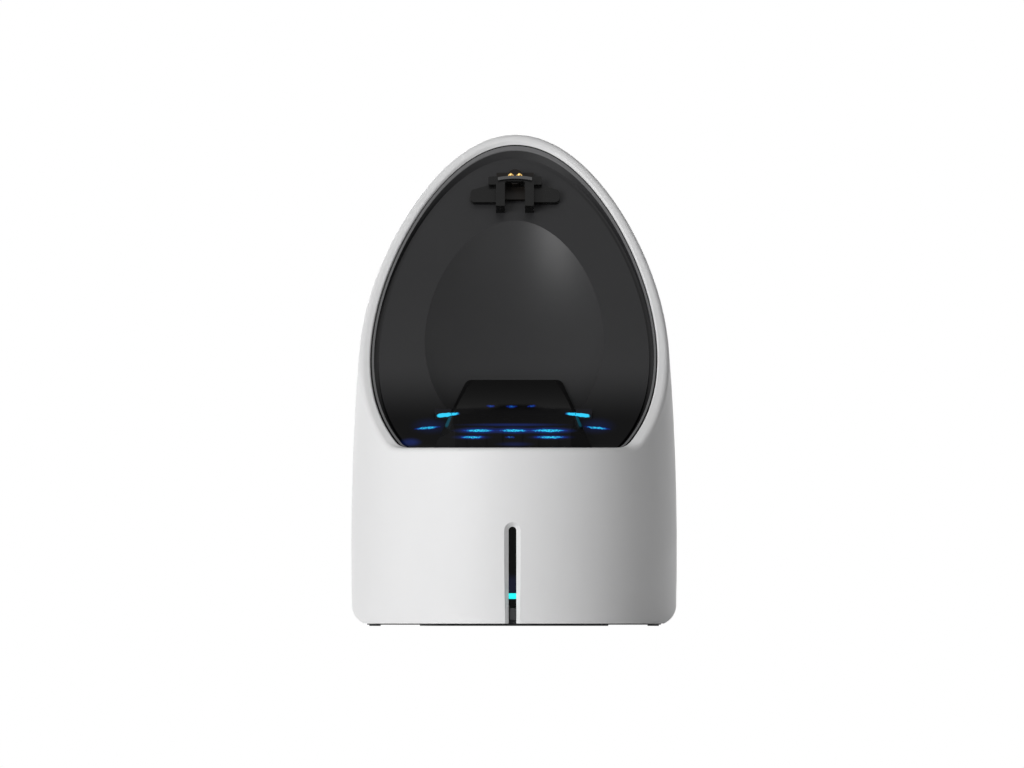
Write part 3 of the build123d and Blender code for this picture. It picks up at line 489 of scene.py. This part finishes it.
# Painted light: a lighter copy of the foot rubber for the front and rear feet, which catch the lamps
painted_lit_rubber = rubber("foot_rubber_painted_lit", (0.46, 0.46, 0.46), (0.40, 0.40, 0.40))
gold = metal("gold_contact", (0.95, 0.64, 0.22), (0.85, 0.52, 0.16), 0.24, 900.0)
steel = metal("screw_steel", (0.55, 0.55, 0.56), (0.40, 0.40, 0.41), 0.32, 700.0)
inlet_steel = metal("inlet_steel", (0.70, 0.70, 0.70), (0.58, 0.58, 0.58), 0.26, 500.0)
board = board_material()
side_light = lens_material(
    "blue_light", (0.004, 0.004, 0.005), (0.0024, 0.0024, 0.003),
    (0.0, 0.0002, 0.002), (0.03, 0.66, 1.0), SIDE_BARS, LIGHT_DROOP)
cyan_light = lens_material(
    "cyan_light", (0.01, 0.08, 0.08), (0.006, 0.048, 0.048),
    (0.02, 0.75, 0.75), (0.018, 1.0, 0.97), INDICATOR_BAR)

MATERIAL_OF = {
    "outer_shell": white,
    "cradle_liner": liner_material(),
    "saddle_panel": saddle_material("gloss_black", 0.10),
    "glow_windows": saddle_material("smoked_window", 0.07),
    "side_lights": side_light,
    "glow_board": board,
    "glow_leds": led_white,
    "contact_housing": housing_black,
    "guide_frame": frame_black,
    "guide_bar": bar_black,
    "contact_board": board,
    "pin_barrels": gold,
    "contact_pin_left": gold,
    "contact_pin_right": gold,
    "contact_cable": sheath,
    "glow_cable": sheath,
    "base_plate": base_grey,
    "base_screws": steel,
    "liner_screws": steel,
    "board_screws": steel,
    "main_board": board,
    "control_chip": chip_black,
    "power_coil": chip_black,
    "capacitors": led_white,
    "lead_sockets": led_white,
    "usb_shell": inlet_steel,
    "usb_tongue": chip_black,
    "slot_lens": slot_material(),
    "indicator_window": cyan_light,
    "indicator_led": led_white,
    "indicator_board": board,
    "foot_left": black_rubber,
    "foot_right": black_rubber,
    "foot_front": painted_lit_rubber,
    "foot_rear": painted_lit_rubber,
}
for node_name, node_material in MATERIAL_OF.items():
    node_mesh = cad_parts[node_name].data
    node_mesh.materials.clear()
    node_mesh.materials.append(node_material)


# Small pieces

SCREW_HEAD_RADIUS = 2.5 * MM
SCREW_HEAD_HEIGHT = 1.2 * MM
SCREW_FACE_INSET = 0.55 * MM
SCREW_ROOT_RADIUS = 0.95 * MM
SCREW_CREST_RADIUS = 1.15 * MM
SCREW_PITCH = 0.8 * MM
THREAD_FLANK = 0.32 * MM
THREAD_GAP = 0.4 * MM
SCREW_POINT = 1.2 * MM
SCREW_TIP_RADIUS = 0.25 * MM
CROSS_ARM = 1.45 * MM
CROSS_HALF = 0.32 * MM
CROSS_DEPTH = 0.75 * MM
CROSS_FLOOR_ARM = 0.899 * MM
CROSS_FLOOR_HALF = 0.192 * MM
ROUND_STEPS = 48

# The round of the head, in steps of (inset from the brim, rise from the face)
SCREW_HEAD_ROUND = (mm(0.22, 0.10), mm(0.05, 0.30), mm(0.0, 0.60))

PAD_LENGTH = 3.4 * MM
PAD_WIDTH = 0.45 * MM
PAD_HEIGHT = 0.06 * MM
PAD_PITCH = 1.0 * MM
PAD_COUNT = 6
PAD_TIP_GAP = 0.5 * MM
PAD_CORNER = 0.135 * MM
PAD_CORNER_STEPS = 3
TONGUE_HALF_HEIGHT = 0.35 * MM

# Rounded rectangles of (half width, half height, corner)
GASKET_OUTER = mm(7.2, 4.2, 3.6)
GASKET_INNER = mm(4.56, 1.72, 1.70)
GASKET_RADIUS = 38.78 * MM
GASKET_THICKNESS = 0.22 * MM
GASKET_CORNER_STEPS = 12


def new_piece(name, builder, material):
    """Turn a filled mesh builder into a piece that rides with the dock."""
    mesh = bpy.data.meshes.new(name)
    bmesh.ops.recalc_face_normals(builder, faces=builder.faces[:])
    builder.to_mesh(mesh)
    builder.free()
    mesh.materials.append(material)
    piece = bpy.data.objects.new(name, mesh)
    bpy.context.collection.objects.link(piece)
    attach(piece, "dock")
    return piece


def ring(builder, centre, radius, z):
    """A closed ring of points round an upright axis."""
    points = []
    for step in range(ROUND_STEPS):
        turn = 2 * math.pi * step / ROUND_STEPS
        x = centre[0] + radius * math.cos(turn)
        y = centre[1] + radius * math.sin(turn)
        points.append(builder.verts.new((x, y, z)))
    return points


def join_rings(builder, first, second, smooth=True):
    count = len(first)
    for step in range(count):
        after = (step + 1) % count
        face = builder.faces.new((first[step], first[after], second[after], second[step]))
        face.smooth = smooth


def cross_loop(builder, centre, arm, half, z):
    """The outline of a plus sign."""
    corners = ((arm, -half), (arm, half), (half, half), (half, arm), (-half, arm), (-half, half),
               (-arm, half), (-arm, -half), (-half, -half), (-half, -arm), (half, -arm), (half, -half))
    return [builder.verts.new((centre[0] + x, centre[1] + y, z)) for x, y in corners]


def loop_edges(builder, loop):
    edges = []
    for step, point in enumerate(loop):
        after = loop[(step + 1) % len(loop)]
        edges.append(builder.edges.get((point, after)) or builder.edges.new((point, after)))
    return edges


def screw_profile(low, high):
    """Rows of (radius, height) from the brim of the head at `low` to the tip at `high`."""
    head_top = low + SCREW_HEAD_HEIGHT
    rows = [(SCREW_HEAD_RADIUS - inset, low + rise) for inset, rise in SCREW_HEAD_ROUND]
    rows += [(SCREW_HEAD_RADIUS, head_top), (SCREW_ROOT_RADIUS, head_top)]
    z = head_top + THREAD_GAP
    while z + SCREW_PITCH < high - SCREW_POINT:
        rows += [(SCREW_ROOT_RADIUS, z), (SCREW_CREST_RADIUS, z + THREAD_FLANK)]
        rows += [(SCREW_ROOT_RADIUS, z + 2 * THREAD_FLANK)]
        z += SCREW_PITCH
    rows += [(SCREW_ROOT_RADIUS, high - SCREW_POINT), (SCREW_TIP_RADIUS, high)]
    return rows


def add_screw(builder, centre, low, high):
    """Pan-head screw, head down at `low`, with a cross recess, a thread and a point at `high`."""
    face = ring(builder, centre, SCREW_HEAD_RADIUS - SCREW_FACE_INSET, low)
    previous = face
    for radius, level in screw_profile(low, high):
        current = ring(builder, centre, radius, level)
        join_rings(builder, previous, current)
        previous = current
    builder.faces.new(previous)
    mouth = cross_loop(builder, centre, CROSS_ARM, CROSS_HALF, low)
    recess = cross_loop(builder, centre, CROSS_FLOOR_ARM, CROSS_FLOOR_HALF, low + CROSS_DEPTH)
    edges = loop_edges(builder, face) + loop_edges(builder, mouth)
    bmesh.ops.triangle_fill(builder, use_beauty=True, edges=edges)
    join_rings(builder, mouth, recess, smooth=False)
    bmesh.ops.triangle_fill(builder, use_beauty=True, edges=loop_edges(builder, recess))


def base_screw_piece():
    low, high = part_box("base_screws")
    x = high.x - SCREW_HEAD_RADIUS
    y = high.y - SCREW_HEAD_RADIUS
    builder = bmesh.new()
    for centre in ((x, y), (-x, y), (-x, -y), (x, -y)):
        add_screw(builder, centre, low.z, high.z)
    piece = new_piece("base_screw_set", builder, steel)
    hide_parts("base_screws")


def inlet_pad_piece():
    """Gold contact strips on both faces of the inlet's tongue."""
    low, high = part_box("usb_tongue")
    middle_z = (low.z + high.z) / 2
    tip = high.y - PAD_TIP_GAP
    builder = bmesh.new()
    for side in (-1, 1):
        for step in range(PAD_COUNT):
            x = (step - (PAD_COUNT - 1) / 2) * PAD_PITCH
            z = middle_z + side * (TONGUE_HALF_HEIGHT + PAD_HEIGHT / 2)
            made = bmesh.ops.create_cube(builder, size=1.0)
            bmesh.ops.scale(builder, verts=made["verts"], vec=(PAD_WIDTH, PAD_LENGTH, PAD_HEIGHT))
            bmesh.ops.translate(builder, verts=made["verts"], vec=(x, tip - PAD_LENGTH / 2, z))
    upright = []
    for edge in builder.edges:
        if abs(edge.verts[0].co.z - edge.verts[1].co.z) > PAD_HEIGHT / 2:
            upright.append(edge)
    bmesh.ops.bevel(builder, geom=upright, offset=PAD_CORNER, segments=PAD_CORNER_STEPS, affect="EDGES")
    new_piece("inlet_contacts", builder, gold)


def gasket_loop(builder, size, middle_z, radius):
    """A rounded rectangle, bent round the upright middle line."""
    wide, high, corner = size
    points = []
    for side, (right, up) in enumerate(((1, 1), (-1, 1), (-1, -1), (1, -1))):
        for step in range(GASKET_CORNER_STEPS):
            turn = math.radians(90.0) * (side + step / (GASKET_CORNER_STEPS - 1))
            x = right * (wide - corner) + corner * math.cos(turn)
            z = middle_z + up * (high - corner) + corner * math.sin(turn)
            points.append(builder.verts.new((x, math.sqrt(radius ** 2 - x ** 2), z)))
    return points


def inlet_gasket_piece():
    """Thin rubber sheet inside the wall, with a hole for the inlet's mouth."""
    low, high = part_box("usb_shell")
    middle_z = (low.z + high.z) / 2
    inside = GASKET_RADIUS - GASKET_THICKNESS
    builder = bmesh.new()
    loops = [gasket_loop(builder, GASKET_OUTER, middle_z, GASKET_RADIUS),
             gasket_loop(builder, GASKET_INNER, middle_z, GASKET_RADIUS),
             gasket_loop(builder, GASKET_INNER, middle_z, inside),
             gasket_loop(builder, GASKET_OUTER, middle_z, inside)]
    for step, loop in enumerate(loops):
        join_rings(builder, loop, loops[(step + 1) % len(loops)], smooth=False)
    new_piece("inlet_gasket", builder, black_rubber)


base_screw_piece()
inlet_pad_piece()
inlet_gasket_piece()


# Stage, light and camera

def pale_floor():
    mesh = bpy.data.meshes.new("floor")
    half = FLOOR_SIZE / 2
    corners = [(-half, -half, 0), (half, -half, 0), (half, half, 0), (-half, half, 0)]
    mesh.from_pydata(corners, [], [(0, 1, 2, 3)])
    n, material = new_material("pale_floor")
    n.set(Base_Color=n.mix(n.noise(3.0), rgb(0.84, 0.84, 0.84), rgb(0.86, 0.86, 0.86)))
    n.set(Roughness=0.8, Specular_IOR_Level=0.0, Emission_Color=WHITE)
    n.set(Emission_Strength=n.math("MULTIPLY", n.background_rays(), FLOOR_GLOW))
    mesh.materials.append(material)
    obj = bpy.data.objects.new("floor", mesh)
    bpy.context.collection.objects.link(obj)


def soft_box(name, azimuth, elevation, width, power):
    """Lamp seen from the object at an azimuth (0 in front, + to the right) and elevation."""
    turn = math.radians(azimuth)
    rise = math.radians(elevation)
    level = math.cos(rise)
    toward = Vector((math.sin(turn) * level, -math.cos(turn) * level, math.sin(rise)))
    lamp = bpy.data.lights.new(name, "AREA")
    lamp.shape = "RECTANGLE"
    lamp.size = width
    lamp.size_y = LAMP_HEIGHT
    lamp.energy = power
    obj = bpy.data.objects.new(name, lamp)
    obj.location = LAMP_AIM + toward * LAMP_DISTANCE
    obj.rotation_euler = toward.to_track_quat("Z", "Y").to_euler()
    bpy.context.collection.objects.link(obj)


def studio_world():
    """White where it shows as the background, and a dim light on the object."""
    world = bpy.data.worlds.new("studio")
    world.use_nodes = True
    n = Nodes(world.node_tree)
    background = world.node_tree.nodes["Background"]
    background.inputs["Color"].default_value = WHITE
    n.put(background.inputs["Strength"], n.span(n.background_rays(), 0.0, 1.0, AMBIENT, 1.0))
    bpy.context.scene.world = world


def photo_camera():
    data = bpy.data.cameras.new("camera")
    data.type = "ORTHO"
    data.ortho_scale = PICTURE_WIDTH / PIXELS_PER_METRE
    camera = bpy.data.objects.new("camera", data)
    turn = math.radians(CAMERA_AZIMUTH)
    back = Vector((math.sin(turn), -math.cos(turn), 0.0))
    across = Vector((math.cos(turn), math.sin(turn), 0.0))
    aim = across * ((PICTURE_WIDTH / 2 - AXIS_PIXEL_X) / PIXELS_PER_METRE)
    aim.z = (FLOOR_PIXEL_Y - PICTURE_HEIGHT / 2) / PIXELS_PER_METRE
    camera.location = aim + back * CAMERA_DISTANCE
    camera.rotation_euler = back.to_track_quat("Z", "Y").to_euler()
    bpy.context.collection.objects.link(camera)
    bpy.context.scene.camera = camera


pale_floor()
for lamp_row in LAMPS:
    soft_box(*lamp_row)
studio_world()
photo_camera()
bpy.context.scene.view_settings.view_transform = "Standard"
